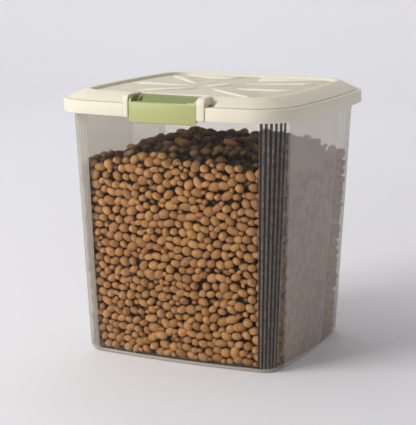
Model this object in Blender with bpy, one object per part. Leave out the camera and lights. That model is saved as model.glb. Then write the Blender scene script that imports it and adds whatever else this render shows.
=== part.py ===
"""Pet food bin: a clear tapered tub, a clip-on collar, a hinged lid and a rocker latch.

Metres, +Z up. The front faces -Y, the origin is on the floor under the middle of the bin.
"""

import math

import bmesh
import bpy
from mathutils import Vector

# ---- Driving dimensions ----------------------------------------------------------------------

# Clearances and walls
TOUCH_GAP = 0.0003
SLIDE_GAP = 0.0004
WALL = 0.0022

# Tub, measured outside at its top edge and at its foot
TUB_HEIGHT = 0.2795
TUB_WIDTH = 0.2642
TUB_DEPTH = 0.2394
TUB_TAPER = 0.0128
TUB_CORNER = 0.0295
TUB_CORNER_FOOT = 0.0219
SIDE_BOW = 0.0078
FLOOR_THICKNESS = 0.0026
FOOT_HEIGHT = 0.0024
FOOT_WIDTH = 0.0065
FLANGE_REACH = 0.0030
FLANGE_THICKNESS = 0.0022
FLUTES_PER_CORNER = 6
FLUTE_DEPTH = 0.0009

# Collar, the cream band that clips over the tub's flange
COLLAR_SIDE_OVERHANG = 0.0087
COLLAR_END_OVERHANG = 0.0177
COLLAR_CORNER = 0.0487
COLLAR_BAND = 0.0138
COLLAR_DROP = 0.0095
COLLAR_WEB = 0.0022
MOUTH_WALL = 0.0020
MOUTH_DEPTH = 0.0128
GASKET_WIDTH = 0.0030

# Lid
LEDGE = 0.0048
LID_EDGE = 0.0008
LID_RISE = 0.0093
LID_SLOPE_SIDE = 0.0187
LID_SLOPE_FRONT = 0.0146
LID_SLOPE_BACK = 0.0102
PLATEAU_CORNER = 0.0291
LID_CORNER = 0.0450
LID_WALL = 0.0048
BORDER_WIDTH = 0.0055
PANEL_RECESS = 0.0032
PANEL_THICKNESS = 0.0016
PAD_HEIGHT = 0.0007
PAD_MARGIN = 0.0030
DECK_THICKNESS = 0.0018

# Liner under the lid, its seal and its screws
LINER_DROP = 0.0028
LINER_THICKNESS = 0.0015
LINER_SKIRT = 0.0066
LINER_WALL = 0.0018
SEAL_WIDTH = 0.0026
SEAL_MOUTH_GAP = 0.0005
SCREW_POST_RADIUS = 0.0038
SCREW_SHANK_RADIUS = 0.0009
SCREW_HEAD_RADIUS = 0.0024
SCREW_HEAD_HEIGHT = 0.0015
SCREW_BITE = 0.0048
SCREW_INSET = 0.0340

# Latch
LATCH_WIDTH = 0.0776
LATCH_CENTRE = 0.0019
LATCH_HEIGHT = 0.0290
LATCH_HANG = 0.0055
LATCH_PLATE = 0.0025
LATCH_SETBACK = 0.0008
HOOK_REACH = 0.0027
LATCH_GAP = 0.0009
LATCH_DEPTH = 0.0234
SCOOP_END_WALL = 0.0024
LATCH_PIN_RADIUS = 0.0015
LATCH_PIN_SETBACK = 0.0071
LATCH_PIN_DROP = 0.0043
LATCH_BOSS_WALL = 0.0015
NOTCH_BACK_GAP = 0.0041
NOTCH_RIM = 0.0025
LEFT_EAR = 0.0050
RIGHT_EAR = 0.0084
EAR_GAP = 0.0005
POCKET_WIDTH = 0.0086

# Rear hinges
HINGE_INSET = 0.0788
HINGE_RADIUS = 0.0035
HINGE_PIN_RADIUS = 0.0012
LID_KNUCKLE = 0.0140
COLLAR_KNUCKLE = 0.0080
WEB_STEP = 0.0004

# Smoothness
SIDE_STEPS = 4
CORNER_STEPS = 8
FLUTE_STEPS = 4

# ---- Sizes that follow from them -------------------------------------------------------------

LEDGE_Z = TUB_HEIGHT - COLLAR_DROP + COLLAR_BAND
BAND_Z = TUB_HEIGHT - COLLAR_DROP
LID_Z = LEDGE_Z + TOUCH_GAP
PLATEAU_Z = LID_Z + LID_RISE
PANEL_TOP_Z = PLATEAU_Z - PANEL_RECESS
PANEL_Z = PANEL_TOP_Z - PANEL_THICKNESS
DECK_TOP_Z = PANEL_Z - TOUCH_GAP
DECK_Z = DECK_TOP_Z - DECK_THICKNESS
LINER_TOP_Z = LEDGE_Z - LINER_DROP
LINER_Z = LINER_TOP_Z - LINER_THICKNESS
SKIRT_Z = LINER_TOP_Z - LINER_SKIRT
MOUTH_Z = LEDGE_Z - MOUTH_DEPTH

COLLAR_HALF_WIDTH = TUB_WIDTH / 2 + COLLAR_SIDE_OVERHANG
COLLAR_HALF_DEPTH = TUB_DEPTH / 2 + COLLAR_END_OVERHANG
FRONT_Y = -COLLAR_HALF_DEPTH

LATCH_LEFT = LATCH_CENTRE - LATCH_WIDTH / 2
LATCH_RIGHT = LATCH_CENTRE + LATCH_WIDTH / 2
NOTCH_LEFT = LATCH_LEFT - LATCH_GAP
NOTCH_RIGHT = LATCH_RIGHT + LATCH_GAP
EAR_LEFT_X = NOTCH_LEFT - LEFT_EAR
EAR_RIGHT_X = NOTCH_RIGHT + RIGHT_EAR
POCKET_RIGHT = EAR_RIGHT_X + POCKET_WIDTH
LATCH_FRONT = FRONT_Y + LATCH_SETBACK
LATCH_BACK = LATCH_FRONT + LATCH_DEPTH
LATCH_BOTTOM = BAND_Z - LATCH_HANG
NOTCH_BACK = LATCH_BACK + NOTCH_BACK_GAP
PIN_Y = FRONT_Y + LATCH_PIN_SETBACK
PIN_Z = LEDGE_Z - LATCH_PIN_DROP
LATCH_BOSS_RADIUS = LATCH_PIN_RADIUS + TOUCH_GAP + LATCH_BOSS_WALL
EAR_FRONT = FRONT_Y
HOUSING_FRONT = PIN_Y + LATCH_BOSS_RADIUS + 0.0023
HOUSING_BACK = HOUSING_FRONT + 0.0018
EAR_BACK = HOUSING_FRONT - 0.0014

HINGE_Y = COLLAR_HALF_DEPTH - HINGE_RADIUS
HINGE_X = COLLAR_HALF_WIDTH - HINGE_INSET

# The barrels stand just clear of the lid's rear slope, where its bowed foot comes nearest to them
SLOPE_RISE = LID_RISE - LID_EDGE
SLOPE_LENGTH = math.hypot(LID_SLOPE_BACK, SLOPE_RISE)
KNUCKLE_INNER_END = HINGE_X - LID_KNUCKLE / 2 - SLIDE_GAP - COLLAR_KNUCKLE
SLOPE_FOOT_Y = COLLAR_HALF_DEPTH - LEDGE - SIDE_BOW * (KNUCKLE_INNER_END / COLLAR_HALF_WIDTH) ** 2
HINGE_REACH = HINGE_RADIUS + TOUCH_GAP - (HINGE_Y - SLOPE_FOOT_Y) * SLOPE_RISE / SLOPE_LENGTH
HINGE_Z = LID_Z + LID_EDGE + HINGE_REACH * SLOPE_LENGTH / LID_SLOPE_BACK

# ---- Scene and collections -------------------------------------------------------------------

for old in list(bpy.data.objects):
    bpy.data.objects.remove(old, do_unlink=True)

BIN = bpy.data.collections.new("pet_food_bin")
TOOLS = bpy.data.collections.new("cutters")
bpy.context.scene.collection.children.link(BIN)
bpy.context.scene.collection.children.link(TOOLS)


def material(name, colour, roughness, metallic=0.0, alpha=1.0):
    made = bpy.data.materials.new(name)
    made.use_nodes = True
    shader = made.node_tree.nodes["Principled BSDF"]
    shader.inputs["Base Color"].default_value = (*colour, 1.0)
    shader.inputs["Roughness"].default_value = roughness
    shader.inputs["Metallic"].default_value = metallic
    shader.inputs["Alpha"].default_value = alpha
    made.diffuse_color = (*colour, alpha)
    return made


CLEAR_PLASTIC = material("clear_plastic", (0.80, 0.77, 0.72), 0.08, alpha=0.35)
CREAM_PLASTIC = material("cream_plastic", (0.83, 0.79, 0.66), 0.42)
PANEL_PLASTIC = material("panel_plastic", (0.60, 0.56, 0.44), 0.48)
WHITE_PLASTIC = material("liner_plastic", (0.78, 0.76, 0.70), 0.45)
GREEN_PLASTIC = material("green_plastic", (0.48, 0.55, 0.26), 0.40)
SILICONE = material("silicone", (0.72, 0.71, 0.68), 0.60)
STEEL = material("steel", (0.62, 0.62, 0.62), 0.28, metallic=1.0)

# ---- Making and joining shapes ---------------------------------------------------------------


def put(name, mesh, finish=None, tool=False):
    """Makes an object of a mesh, as a part with its finish or as a hidden tool."""
    made = bpy.data.objects.new(name, mesh)
    if tool:
        TOOLS.objects.link(made)
        made.hide_render = True
        made.display_type = "WIRE"
        return made
    BIN.objects.link(made)
    made.data.materials.append(finish)
    for face in mesh.polygons:
        face.use_smooth = True
    mesh.set_sharp_from_angle(angle=math.radians(30))
    return made


def mesh_of(name, shape):
    """Turns all faces of a closed shape outwards and hands it over as a mesh."""
    bmesh.ops.recalc_face_normals(shape, faces=shape.faces)
    if shape.calc_volume(signed=True) < 0:
        bmesh.ops.reverse_faces(shape, faces=shape.faces)
    mesh = bpy.data.meshes.new(name)
    shape.to_mesh(mesh)
    shape.free()
    return mesh


def loft(name, rings, ring_shaped=False):
    """Joins closed loops of equal length. Ends are capped, or meet when ring_shaped."""
    shape = bmesh.new()
    loops = [[shape.verts.new(point) for point in ring] for ring in rings]
    pairs = list(zip(loops, loops[1:]))
    if ring_shaped:
        pairs.append((loops[-1], loops[0]))
    for low, high in pairs:
        count = len(low)
        for i in range(count):
            j = (i + 1) % count
            shape.faces.new((low[i], low[j], high[j], high[i]))
    if not ring_shaped:
        shape.faces.new(list(reversed(loops[0])))
        shape.faces.new(loops[-1])
    return mesh_of(name, shape)


def box(name, x, y, z):
    """A block between two limits on each axis."""
    shape = bmesh.new()
    bmesh.ops.create_cube(shape, size=1.0)
    size = Vector((x[1] - x[0], y[1] - y[0], z[1] - z[0]))
    middle = Vector((x[0] + x[1], y[0] + y[1], z[0] + z[1])) / 2
    for vertex in shape.verts:
        vertex.co = middle + Vector(a * b for a, b in zip(vertex.co, size))
    return mesh_of(name, shape)


def rod_x(name, radius, x, y, z, segments=20):
    """A round bar along X between two limits."""
    shape = bmesh.new()
    bmesh.ops.create_cone(
        shape, cap_ends=True, segments=segments, radius1=radius, radius2=radius, depth=x[1] - x[0]
    )
    for vertex in shape.verts:
        across, along, up = vertex.co.x, vertex.co.z, vertex.co.y
        vertex.co = (along + (x[0] + x[1]) / 2, across + y, up + z)
    return mesh_of(name, shape)


def rod_z(name, radius, x, y, z, segments=16):
    """A round bar along Z between two heights."""
    shape = bmesh.new()
    bmesh.ops.create_cone(
        shape, cap_ends=True, segments=segments, radius1=radius, radius2=radius, depth=z[1] - z[0]
    )
    for vertex in shape.verts:
        vertex.co += Vector((x, y, (z[0] + z[1]) / 2))
    return mesh_of(name, shape)


def prism(name, outline, axis, start, end):
    """Pulls a flat outline along X, Y or Z. Its points are the other two coordinates in order."""
    shape = bmesh.new()
    corners = []
    for first, second in outline:
        place = {"X": (start, first, second), "Y": (first, start, second), "Z": (first, second, start)}
        corners.append(shape.verts.new(place[axis]))
    face = shape.faces.new(corners)
    pulled = bmesh.ops.extrude_face_region(shape, geom=[face])
    move = Vector((axis == "X", axis == "Y", axis == "Z")) * (end - start)
    for item in pulled["geom"]:
        if isinstance(item, bmesh.types.BMVert):
            item.co += move
    return mesh_of(name, shape)


def boolean(target, tool, operation):
    step = target.modifiers.new(f"{operation.lower()}_{tool.name}", "BOOLEAN")
    step.operation = operation
    step.object = tool
    step.solver = "EXACT"


def cut(target, mesh):
    boolean(target, put(mesh.name, mesh, tool=True), "DIFFERENCE")


def join(target, mesh):
    boolean(target, put(mesh.name, mesh, tool=True), "UNION")


def arc(centre, radius, start, end, steps):
    """Points on a circle from one angle to another, in degrees."""
    angles = [math.radians(start + (end - start) * i / steps) for i in range(steps + 1)]
    return [(centre[0] + radius * math.cos(a), centre[1] + radius * math.sin(a)) for a in angles]


def outline(half_width, half_depth, corner, centre_y=0.0, corner_steps=CORNER_STEPS, flute=0.0):
    """A rounded rectangle whose four sides bow outwards by SIDE_BOW, anticlockwise from +X.

    Each side is an arc that reaches the full half size at its middle, and each corner is an arc
    that is tangent to both. With a flute depth, the corners are grooved from end to end.
    """
    side_radius = (half_depth**2 + SIDE_BOW**2) / (2 * SIDE_BOW)
    end_radius = (half_width**2 + SIDE_BOW**2) / (2 * SIDE_BOW)
    side_centre = Vector((half_width - side_radius, 0.0))
    end_centre = Vector((0.0, half_depth - end_radius))
    between = end_centre - side_centre
    reach_side = side_radius - corner
    reach_end = end_radius - corner
    along = (between.length**2 + reach_side**2 - reach_end**2) / (2 * between.length)
    aside = math.sqrt(reach_side**2 - along**2)
    direction = between.normalized()
    middle = side_centre + direction * along + Vector((-direction.y, direction.x)) * aside
    side_angle = math.atan2(middle.y - side_centre.y, middle.x - side_centre.x)
    end_angle = math.atan2(middle.y - end_centre.y, middle.x - end_centre.x)
    quarter = []
    for i in range(SIDE_STEPS):
        a = side_angle * i / SIDE_STEPS
        quarter.append((side_centre.x + side_radius * math.cos(a), side_radius * math.sin(a)))
    for i in range(corner_steps + 1):
        share = i / corner_steps
        a = side_angle + (end_angle - side_angle) * share
        depth = flute * (0.5 - 0.5 * math.cos(math.tau * FLUTES_PER_CORNER * share))
        reach = corner - depth
        quarter.append((middle.x + reach * math.cos(a), middle.y + reach * math.sin(a)))
    for i in range(1, SIDE_STEPS):
        a = end_angle + (math.pi / 2 - end_angle) * i / SIDE_STEPS
        quarter.append((end_radius * math.cos(a), end_centre.y + end_radius * math.sin(a)))
    top = (0.0, half_depth)
    right_to_left = quarter + [top] + [(-x, y) for x, y in reversed(quarter)]
    lower = [(-x, -y) for x, y in right_to_left[1:-1]]
    return [(x, y + centre_y) for x, y in right_to_left + lower]


def at_height(points, z):
    return [(x, y, z) for x, y in points]


# ---- Outlines shared by the parts that fit together ------------------------------------------


def tub_size(z, inset=0.0):
    """Half width, half depth and corner radius of the tub at a height, drawn in by inset."""
    share = z / TUB_HEIGHT
    shrink = TUB_TAPER * (1 - share) + inset
    corner = TUB_CORNER_FOOT + (TUB_CORNER - TUB_CORNER_FOOT) * share - inset
    return TUB_WIDTH / 2 - shrink, TUB_DEPTH / 2 - shrink, corner


def tub_ring(z, inset=0.0, flute=0.0):
    steps = FLUTES_PER_CORNER * FLUTE_STEPS
    return at_height(outline(*tub_size(z, inset), corner_steps=steps, flute=flute), z)


def collar_ring(z, inset=0.0):
    half_width = COLLAR_HALF_WIDTH - inset
    half_depth = COLLAR_HALF_DEPTH - inset
    return at_height(outline(half_width, half_depth, COLLAR_CORNER - inset), z)


def mouth_ring(z, inset=0.0):
    """The mouth's outer face sits just inside the tub, as far down as the mouth wall reaches."""
    size = tub_size(MOUTH_Z, WALL + SLIDE_GAP + inset)
    return at_height(outline(*size), z)


def lid_ring(z, inset=0.0):
    """The foot of the lid's slope, standing on the collar's ledge."""
    half_width = COLLAR_HALF_WIDTH - LEDGE - inset
    half_depth = COLLAR_HALF_DEPTH - LEDGE - inset
    return at_height(outline(half_width, half_depth, LID_CORNER - inset), z)


def plateau_ring(z, inset=0.0):
    half_width = COLLAR_HALF_WIDTH - LEDGE - LID_SLOPE_SIDE - inset
    half_depth = COLLAR_HALF_DEPTH - LEDGE - (LID_SLOPE_FRONT + LID_SLOPE_BACK) / 2 - inset
    centre_y = (LID_SLOPE_FRONT - LID_SLOPE_BACK) / 2
    return at_height(outline(half_width, half_depth, PLATEAU_CORNER - inset, centre_y), z)


# ---- Tub -------------------------------------------------------------------------------------


def make_tub():
    floor_z = FOOT_HEIGHT + FLOOR_THICKNESS
    flange_z = TUB_HEIGHT - FLANGE_THICKNESS
    rings = [
        tub_ring(FOOT_HEIGHT, inset=FOOT_WIDTH + 0.0012),
        tub_ring(0.0, inset=FOOT_WIDTH),
        tub_ring(0.0, inset=0.0026),
        tub_ring(0.0007, inset=0.0008),
        tub_ring(0.0024, flute=FLUTE_DEPTH * 0.5),
        tub_ring(0.0060, flute=FLUTE_DEPTH),
        tub_ring(flange_z - 0.0004, flute=FLUTE_DEPTH),
        tub_ring(flange_z, inset=-FLANGE_REACH),
        tub_ring(TUB_HEIGHT, inset=-FLANGE_REACH),
        tub_ring(TUB_HEIGHT, inset=WALL),
        tub_ring(floor_z + 0.0032, inset=WALL),
        tub_ring(floor_z + 0.0009, inset=WALL + 0.0010),
        tub_ring(floor_z, inset=WALL + 0.0032),
    ]
    return put("tub", loft("tub", rings), CLEAR_PLASTIC)


# ---- Collar and its gasket -------------------------------------------------------------------


def knuckle_places():
    """For each hinge, the X limits of the lid's knuckle and of the collar's two knuckles."""
    places = []
    for side in (-1, 1):
        middle = side * HINGE_X
        half = LID_KNUCKLE / 2
        outer = half + SLIDE_GAP + COLLAR_KNUCKLE
        collar = [(middle - outer, middle - half - SLIDE_GAP), (middle + half + SLIDE_GAP, middle + outer)]
        places.append(((middle - half, middle + half), collar))
    return places


def make_collar():
    web_z = LEDGE_Z - COLLAR_WEB
    rings = [
        collar_ring(BAND_Z, inset=0.0003),
        collar_ring(BAND_Z + 0.0006),
        collar_ring(LEDGE_Z - 0.0007),
        collar_ring(LEDGE_Z, inset=0.0007),
        mouth_ring(LEDGE_Z, inset=MOUTH_WALL),
        mouth_ring(MOUTH_Z, inset=MOUTH_WALL),
        mouth_ring(MOUTH_Z),
        mouth_ring(web_z),
        collar_ring(web_z, inset=WALL),
        collar_ring(BAND_Z, inset=WALL),
    ]
    collar = put("collar_ring", loft("collar_ring", rings, ring_shaped=True), CREAM_PLASTIC)
    side_wall = 0.0022
    left = EAR_LEFT_X - EAR_GAP
    right = EAR_RIGHT_X + EAR_GAP
    inner_front = FRONT_Y + WALL
    housing = box(
        "latch_housing", (left - side_wall, right + side_wall), (inner_front, HOUSING_BACK), (BAND_Z, LEDGE_Z)
    )
    join(collar, housing)
    notch = box(
        "latch_notch", (left, right), (FRONT_Y - 0.01, HOUSING_FRONT), (BAND_Z - 0.01, LEDGE_Z + 0.01)
    )
    cut(collar, notch)
    catch_y = LATCH_FRONT + LATCH_PLATE + HOOK_REACH + TOUCH_GAP
    catch_z = LATCH_BOTTOM + 0.0063
    catch = [
        (HOUSING_FRONT + 0.0005, catch_z + 0.0034),
        (HOUSING_FRONT + 0.0005, catch_z - 0.0008),
        (catch_y, catch_z - 0.0008),
        (catch_y, catch_z + 0.0006),
    ]
    join(collar, prism("latch_catch", catch, "X", NOTCH_LEFT + 0.004, NOTCH_RIGHT - 0.004))
    post_front = HINGE_Y - 0.0015
    post = [
        (post_front, web_z),
        (post_front, HINGE_Z),
        (COLLAR_HALF_DEPTH, HINGE_Z),
        (COLLAR_HALF_DEPTH, BAND_Z + 0.006),
        (COLLAR_HALF_DEPTH - 0.003, BAND_Z + 0.003),
        (COLLAR_HALF_DEPTH - 0.003, web_z),
    ]
    number = 0
    for _, collar_limits in knuckle_places():
        for low, high in collar_limits:
            number += 1
            join(collar, prism(f"hinge_post_{number}", post, "X", low + WEB_STEP, high - WEB_STEP))
            join(collar, rod_x(f"collar_knuckle_{number}", HINGE_RADIUS, (low, high), HINGE_Y, HINGE_Z))
            bore = HINGE_PIN_RADIUS + TOUCH_GAP
            hole = (low - 0.001, high + 0.001)
            cut(collar, rod_x(f"collar_hinge_bore_{number}", bore, hole, HINGE_Y, HINGE_Z, 12))
    return collar


def make_gasket():
    low = TUB_HEIGHT + TOUCH_GAP
    high = LEDGE_Z - COLLAR_WEB - TOUCH_GAP
    inner = -SLIDE_GAP
    outer = inner - GASKET_WIDTH
    middle = (low + high) / 2
    rings = [
        mouth_ring(low, inset=inner),
        mouth_ring(low, inset=outer + 0.0005),
        mouth_ring(middle, inset=outer),
        mouth_ring(high, inset=outer + 0.0005),
        mouth_ring(high, inset=inner),
    ]
    return put("collar_gasket", loft("collar_gasket", rings, ring_shaped=True), SILICONE)


# ---- Lid shell -------------------------------------------------------------------------------


def make_lid_envelope():
    """The lid's outside as one closed block, which trims what is built into the shell."""
    rings = [
        lid_ring(LID_Z),
        lid_ring(LID_Z + LID_EDGE),
        plateau_ring(PLATEAU_Z - 0.0006, inset=-0.0002),
        plateau_ring(PLATEAU_Z, inset=0.0010),
    ]
    return put("lid_envelope", loft("lid_envelope", rings), tool=True)


def screw_places():
    """Six screws round the liner, clear of the latch notch."""
    half_width = TUB_WIDTH / 2 - SCREW_INSET
    half_depth = TUB_DEPTH / 2 - SCREW_INSET
    return [(x * half_width, y * half_depth) for y in (-1, 0, 1) for x in (-1, 1)]


def ear_outline():
    """An ear of the lid, seen from its side, from the plateau down into the collar's notch."""
    top = PLATEAU_Z - 0.0002
    round_radius = 0.0055
    back = FRONT_Y + LEDGE + LID_SLOPE_FRONT + 0.0010
    nose = arc((EAR_FRONT + round_radius, top - round_radius), round_radius, 180, 90, 6)
    foot = BAND_Z - 0.0004
    return nose + [
        (back, top),
        (back, LID_Z + 0.0010),
        (EAR_BACK, LID_Z + 0.0010),
        (EAR_BACK, foot),
        (EAR_FRONT + 0.0008, foot),
        (EAR_FRONT, foot + 0.0008),
    ]


def make_lid_shell():
    rings = [
        lid_ring(LID_Z),
        lid_ring(LID_Z + LID_EDGE),
        plateau_ring(PLATEAU_Z - 0.0006, inset=-0.0002),
        plateau_ring(PLATEAU_Z, inset=0.0010),
        plateau_ring(PLATEAU_Z, inset=BORDER_WIDTH - 0.0007),
        plateau_ring(PLATEAU_Z - 0.0005, inset=BORDER_WIDTH),
        plateau_ring(DECK_TOP_Z, inset=BORDER_WIDTH),
        plateau_ring(DECK_Z, inset=0.0034),
        plateau_ring(DECK_Z + 0.0031, inset=0.0034),
        lid_ring(LID_Z, inset=LID_WALL),
    ]
    deck_top = rings[:7]
    shape_under = list(reversed(rings[7:]))
    shell = put("lid_shell", loft_shell("lid_shell", deck_top, shape_under), CREAM_PLASTIC)
    envelope = make_lid_envelope()
    frames = (
        (
            "notch_frame",
            (NOTCH_LEFT - NOTCH_RIM, NOTCH_RIGHT + NOTCH_RIM),
            (FRONT_Y, NOTCH_BACK + NOTCH_RIM),
        ),
        (
            "pocket_frame",
            (NOTCH_RIGHT, POCKET_RIGHT + 0.0018),
            (FRONT_Y, FRONT_Y + LEDGE + LID_SLOPE_FRONT + 0.0005),
        ),
    )
    for name, x, y in frames:
        frame = put(name, box(name, x, y, (LID_Z - 0.001, PLATEAU_Z + 0.001)), tool=True)
        boolean(frame, envelope, "INTERSECT")
        boolean(shell, frame, "UNION")
    for number, (x, y) in enumerate(screw_places(), 1):
        post = rod_z(
            f"screw_post_{number}", SCREW_POST_RADIUS, x, y, (LINER_TOP_Z + TOUCH_GAP, DECK_Z + 0.0005)
        )
        join(shell, post)
        bore_top = LINER_TOP_Z + TOUCH_GAP + SCREW_BITE + 0.0005
        bore = SCREW_SHANK_RADIUS + TOUCH_GAP
        cut(shell, rod_z(f"screw_bore_{number}", bore, x, y, (LINER_Z, bore_top), 10))
    pocket_back = FRONT_Y + LEDGE + LID_SLOPE_FRONT - 0.0015
    notch_and_pocket = [
        (NOTCH_LEFT, FRONT_Y - 0.01),
        (POCKET_RIGHT, FRONT_Y - 0.01),
        (POCKET_RIGHT, pocket_back),
        (NOTCH_RIGHT, pocket_back),
        (NOTCH_RIGHT, NOTCH_BACK),
        (NOTCH_LEFT, NOTCH_BACK),
    ]
    cut(shell, prism("lid_notch", notch_and_pocket, "Z", LID_Z - 0.01, PLATEAU_Z + 0.01))
    join(shell, prism("left_ear", ear_outline(), "X", EAR_LEFT_X, NOTCH_LEFT))
    join(shell, prism("right_ear", ear_outline(), "X", NOTCH_RIGHT, EAR_RIGHT_X))
    bore = LATCH_PIN_RADIUS + TOUCH_GAP
    cut(shell, rod_x("latch_pin_bore", bore, (EAR_LEFT_X - 0.001, EAR_RIGHT_X + 0.001), PIN_Y, PIN_Z, 14))
    web = [
        (HINGE_Y - 0.70 * HINGE_RADIUS, HINGE_Z + 0.63 * HINGE_RADIUS),
        (HINGE_Y - HINGE_RADIUS - 0.0042, HINGE_Z - 0.0008),
        (HINGE_Y - HINGE_RADIUS - 0.0010, LEDGE_Z + 0.0007),
        (HINGE_Y, HINGE_Z - 0.94 * HINGE_RADIUS),
        (HINGE_Y, HINGE_Z),
    ]
    for number, (lid_limits, _) in enumerate(knuckle_places(), 1):
        low, high = lid_limits
        join(shell, prism(f"lid_knuckle_web_{number}", web, "X", low + WEB_STEP, high - WEB_STEP))
        join(shell, rod_x(f"lid_knuckle_{number}", HINGE_RADIUS, lid_limits, HINGE_Y, HINGE_Z))
        bore = HINGE_PIN_RADIUS + TOUCH_GAP
        hole = (lid_limits[0] - 0.001, lid_limits[1] + 0.001)
        cut(shell, rod_x(f"lid_hinge_bore_{number}", bore, hole, HINGE_Y, HINGE_Z, 12))
    return shell


def loft_shell(name, upper, lower):
    """An upturned tray: the outside rings up and over to the deck, and the inside rings up to it."""
    shape = bmesh.new()
    top = [[shape.verts.new(point) for point in ring] for ring in upper]
    under = [[shape.verts.new(point) for point in ring] for ring in lower]
    for loops in (top, under):
        for low, high in zip(loops, loops[1:]):
            for i in range(len(low)):
                j = (i + 1) % len(low)
                shape.faces.new((low[i], low[j], high[j], high[i]))
    for i in range(len(top[0])):
        j = (i + 1) % len(top[0])
        shape.faces.new((top[0][i], top[0][j], under[0][j], under[0][i]))
    shape.faces.new(top[-1])
    shape.faces.new(under[-1])
    return mesh_of(name, shape)


# ---- Lid top panel ---------------------------------------------------------------------------


def ray_pad(start, end, start_width, end_width):
    """A tapered pad with pointed ends, running from one point to another."""
    a = Vector(start)
    b = Vector(end)
    along = b - a
    across = Vector((-along.y, along.x)).normalized()
    near = a + along * 0.22
    far = a + along * 0.80
    return [
        a,
        near - across * start_width / 2,
        far - across * end_width / 2,
        b,
        far + across * end_width / 2,
        near + across * start_width / 2,
    ]


def pad_outlines():
    """Raised pads fanning out from the middle of the lid, as shares of the panel's half sizes."""
    half_width = COLLAR_HALF_WIDTH - LEDGE - LID_SLOPE_SIDE - BORDER_WIDTH
    half_depth = COLLAR_HALF_DEPTH - LEDGE - (LID_SLOPE_FRONT + LID_SLOPE_BACK) / 2 - BORDER_WIDTH
    rays = (
        ((-0.28, 0.14), (-0.90, 0.84), 0.050, 0.110),
        ((-0.24, -0.02), (-0.93, 0.02), 0.060, 0.190),
        ((-0.11, -0.20), (-0.55, -0.62), 0.080, 0.150),
        ((-0.10, -0.07), (0.06, 0.26), 0.110, 0.110),
        ((0.05, -0.21), (0.68, -0.74), 0.060, 0.090),
        ((0.28, -0.12), (0.86, -0.08), 0.080, 0.150),
        ((0.18, 0.29), (0.82, 0.60), 0.080, 0.170),
    )
    pads = [
        ray_pad(
            (start[0] * half_width, start[1] * half_depth),
            (end[0] * half_width, end[1] * half_depth),
            near * half_width,
            far * half_width,
        )
        for start, end, near, far in rays
    ]
    wedges = (
        ((-0.86, 0.96), (-0.40, 0.71), (-0.19, 0.74), (-0.13, 0.96)),
        ((0.06, 0.96), (0.19, 0.60), (0.76, 0.90), (0.80, 0.96)),
    )
    for wedge in wedges:
        pads.append([Vector((x * half_width, y * half_depth)) for x, y in wedge])
    return pads


def make_top_panel():
    inset = BORDER_WIDTH + TOUCH_GAP
    rings = [plateau_ring(PANEL_Z, inset=inset), plateau_ring(PANEL_TOP_Z, inset=inset)]
    panel = put("lid_top_panel", loft("lid_top_panel", rings), PANEL_PLASTIC)
    low = PANEL_TOP_Z - 0.0006
    edge = BORDER_WIDTH + PAD_MARGIN
    limit_rings = [plateau_ring(low - 0.002, inset=edge), plateau_ring(PANEL_TOP_Z + 0.005, inset=edge)]
    limit = put("pad_limit", loft("pad_limit", limit_rings), tool=True)
    for number, pad in enumerate(pad_outlines(), 1):
        name = f"pad_{number}"
        corners = [tuple(point) for point in pad]
        raised = put(name, prism(name, corners, "Z", low, PANEL_TOP_Z + PAD_HEIGHT), tool=True)
        boolean(raised, limit, "INTERSECT")
        boolean(panel, raised, "UNION")
    opening = box(
        "panel_opening",
        (NOTCH_LEFT - NOTCH_RIM - TOUCH_GAP, NOTCH_RIGHT + NOTCH_RIM + TOUCH_GAP),
        (FRONT_Y, NOTCH_BACK + NOTCH_RIM + TOUCH_GAP),
        (PANEL_Z - 0.005, PANEL_TOP_Z + 0.005),
    )
    cut(panel, opening)
    return panel


# ---- Liner, seal and screws ------------------------------------------------------------------


def liner_inset(extra=0.0):
    """How far the liner's skirt stands in from the mouth's outer face."""
    return MOUTH_WALL + SEAL_MOUTH_GAP + SEAL_WIDTH + TOUCH_GAP + extra


def make_liner():
    rim = MOUTH_WALL + 0.0008
    lip = liner_inset() - 0.0012
    rings = [
        mouth_ring(LINER_TOP_Z, inset=rim),
        mouth_ring(LINER_Z, inset=rim),
        mouth_ring(LINER_Z, inset=liner_inset()),
        mouth_ring(SKIRT_Z + 0.0010, inset=liner_inset()),
        mouth_ring(SKIRT_Z + 0.0010, inset=lip),
        mouth_ring(SKIRT_Z, inset=lip),
        mouth_ring(SKIRT_Z, inset=liner_inset(LINER_WALL)),
        mouth_ring(LINER_Z, inset=liner_inset(LINER_WALL)),
    ]
    liner = put("lid_liner", loft("lid_liner", rings), WHITE_PLASTIC)
    for number, (x, y) in enumerate(screw_places(), 1):
        bore = SCREW_SHANK_RADIUS + TOUCH_GAP
        cut(liner, rod_z(f"liner_bore_{number}", bore, x, y, (LINER_Z - 0.002, LINER_TOP_Z + 0.002), 10))
    return liner


def make_lid_seal():
    inner = liner_inset(-TOUCH_GAP)
    outer = inner - SEAL_WIDTH
    top = LINER_Z - TOUCH_GAP
    low = SKIRT_Z + 0.0010 + TOUCH_GAP
    middle = (top + low) / 2
    rings = [
        mouth_ring(top, inset=inner),
        mouth_ring(top, inset=outer + 0.0009),
        mouth_ring(middle + 0.0008, inset=outer),
        mouth_ring(middle - 0.0008, inset=outer),
        mouth_ring(low, inset=outer + 0.0009),
        mouth_ring(low, inset=inner),
    ]
    return put("lid_seal", loft("lid_seal", rings, ring_shaped=True), SILICONE)


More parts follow.
